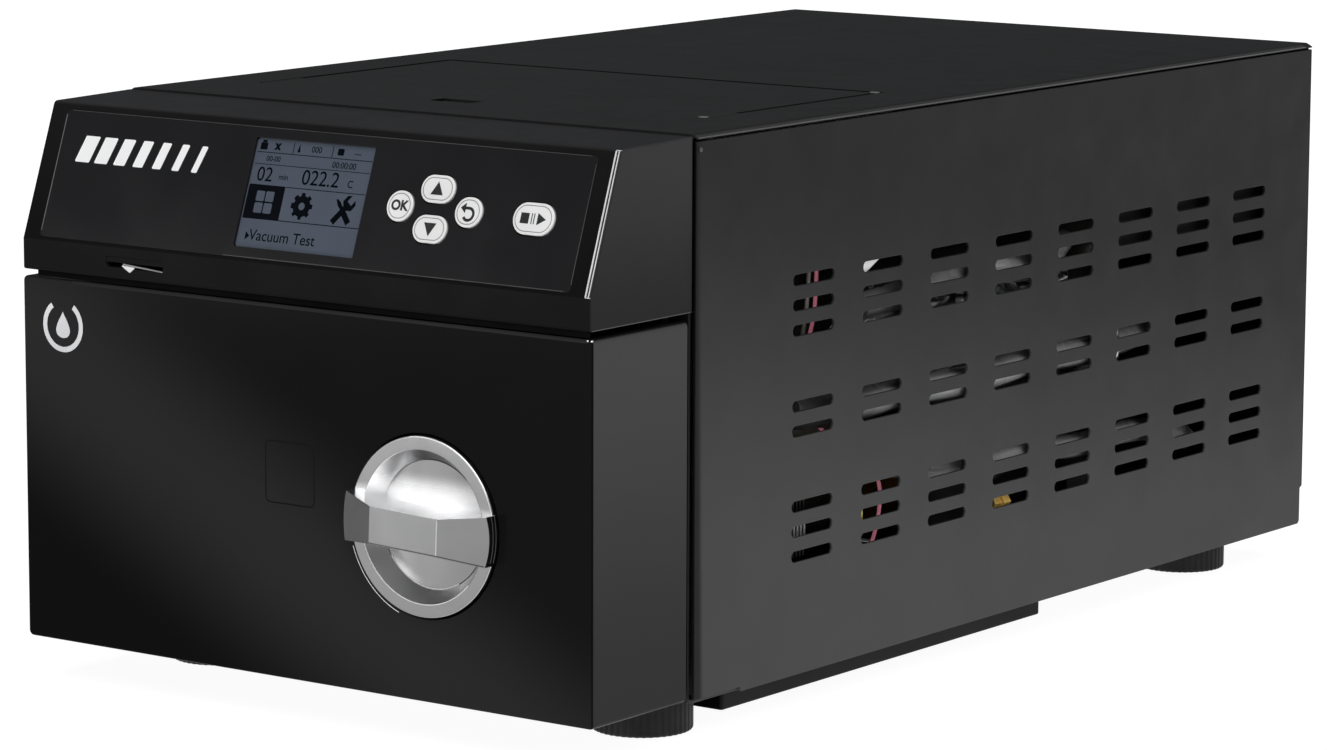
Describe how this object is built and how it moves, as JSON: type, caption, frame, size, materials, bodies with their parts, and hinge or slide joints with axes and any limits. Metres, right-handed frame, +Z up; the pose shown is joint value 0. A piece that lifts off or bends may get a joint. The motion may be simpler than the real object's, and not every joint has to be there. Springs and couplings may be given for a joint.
{
  "type": "benchtop autoclave",
  "caption": "Compact benchtop steam autoclave with a side-hinged door, rotary lock, sloped control panel, louvred housing and top-filled water tank.",
  "frame": {"origin": "centre of the overall box, at the level of the feet", "axes": "+X to the right seen from the front, +Y to the back, +Z up"},
  "size_m": [0.28, 0.55, 0.2301],
  "materials": {
    "powder_coat": "fine satin powder coat",
    "gloss_black": "high gloss",
    "moulded_black": "fine satin texture",
    "satin_silver": "satin, lightly brushed",
    "chrome": "polished",
    "stainless": "brushed",
    "steel": "plain",
    "brass": "turned",
    "rubber": "matte",
    "silicone": "satin",
    "screen": "backlit display behind clear glass",
    "white_plastic": "satin",
    "circuit_board": "solder mask",
    "fleece": "felted",
    "pink_wire": "satin"
  },
  "bodies": {
    "housing": {"control_overlay": "gloss_black", "lcd_module": "screen", "control_board": "circuit_board", "trim_strip": "chrome", "left_side_panel": "powder_coat", "right_side_panel": "powder_coat", "top_cover": "powder_coat", "rear_panel": "powder_coat", "front_frame": "steel", "base_plate": "powder_coat", "bottom_pan": "moulded_black", "foot_front_left": "rubber", "foot_front_right": "rubber", "foot_rear_left": "rubber", "foot_rear_right": "rubber", "fascia_shell": "moulded_black", "lip_port": "stainless", "hinge_bracket_lower": "steel", "hinge_bracket_upper": "steel", "lock_keeper": "steel", "chamber_vessel": "stainless", "band_heater": "steel", "insulation_jacket": "fleece", "tray_rack": "stainless", "tray_lower": "stainless", "tray_upper": "stainless", "water_tank": "white_plastic", "steam_generator": "stainless", "vacuum_pump": "steel", "solenoid_valve": "brass", "solenoid_coil": "moulded_black", "safety_valve": "brass", "condenser_radiator": "steel", "drain_coupling": "white_plastic", "exhaust_coupling": "white_plastic", "drain_hose": "silicone", "sensor_wire": "pink_wire", "fan_frame": "moulded_black", "power_inlet": "moulded_black", "power_switch": "moulded_black", "main_board": "circuit_board", "power_supply": "stainless"},
    "door": {"door_shell": "gloss_black", "door_back_plate": "stainless", "mechanism_carrier": "steel", "pressure_plate": "stainless", "door_gasket": "silicone", "hinge_pin": "stainless", "bolt_guide": "steel"},
    "handle": {"handle_knob": "satin_silver", "handle_spindle": "steel"},
    "lock_bolt": {"lock_bolt": "steel"},
    "reservoir_lid": {"reservoir_lid": "powder_coat"},
    "fan": {"fan_rotor": "moulded_black"},
    "power_rocker": {"power_rocker": "gloss_black"},
    "button_ok": {"button_ok": "white_plastic"},
    "button_up": {"button_up": "white_plastic"},
    "button_down": {"button_down": "white_plastic"},
    "button_return": {"button_return": "white_plastic"},
    "button_start": {"button_start": "white_plastic"}
  },
  "joints": [
    {"name": "door_hinge", "type": "hinge", "parent": "housing", "child": "door", "pos_m": [-0.131, -0.2115, 0.0893], "axis": [0, 0, -1], "range_deg": [0, 100]},
    {"name": "handle_turn", "type": "hinge", "parent": "door", "child": "handle", "pos_m": [0.0615, -0.2495, 0.084], "axis": [0, 1, 0], "range_deg": [0, 90]},
    {"name": "bolt_slide", "type": "slide", "parent": "door", "child": "lock_bolt", "axis": [1, 0, 0], "range_m": [0, 0.0158]},
    {"name": "lid_hinge", "type": "hinge", "parent": "housing", "child": "reservoir_lid", "pos_m": [0, -0.0313, 0.2301], "axis": [-1, 0, 0], "range_deg": [0, 100]},
    {"name": "fan_spin", "type": "hinge", "parent": "housing", "child": "fan", "pos_m": [0, 0.2485, 0.15], "axis": [0, 1, 0], "continuous": true},
    {"name": "rocker_tilt", "type": "hinge", "parent": "housing", "child": "power_rocker", "pos_m": [0.095, 0.2629, 0.092], "axis": [-1, 0, 0], "range_deg": [0, 18]},
    {"name": "press_ok", "type": "slide", "parent": "housing", "child": "button_ok", "axis": [0, 0.9401, -0.3409], "range_m": [0, 0.0008], "stiffness_N_per_m": 400},
    {"name": "press_up", "type": "slide", "parent": "housing", "child": "button_up", "axis": [0, 0.9401, -0.3409], "range_m": [0, 0.0008], "stiffness_N_per_m": 400},
    {"name": "press_down", "type": "slide", "parent": "housing", "child": "button_down", "axis": [0, 0.9401, -0.3409], "range_m": [0, 0.0008], "stiffness_N_per_m": 400},
    {"name": "press_return", "type": "slide", "parent": "housing", "child": "button_return", "axis": [0, 0.9401, -0.3409], "range_m": [0, 0.0008], "stiffness_N_per_m": 400},
    {"name": "press_start", "type": "slide", "parent": "housing", "child": "button_start", "axis": [0, 0.9401, -0.3409], "range_m": [0, 0.0008], "stiffness_N_per_m": 400}
  ],
  "couplings": [
    {"joint": "bolt_slide", "follows": "handle_turn", "m_per_rad": 0.01}
  ]
}
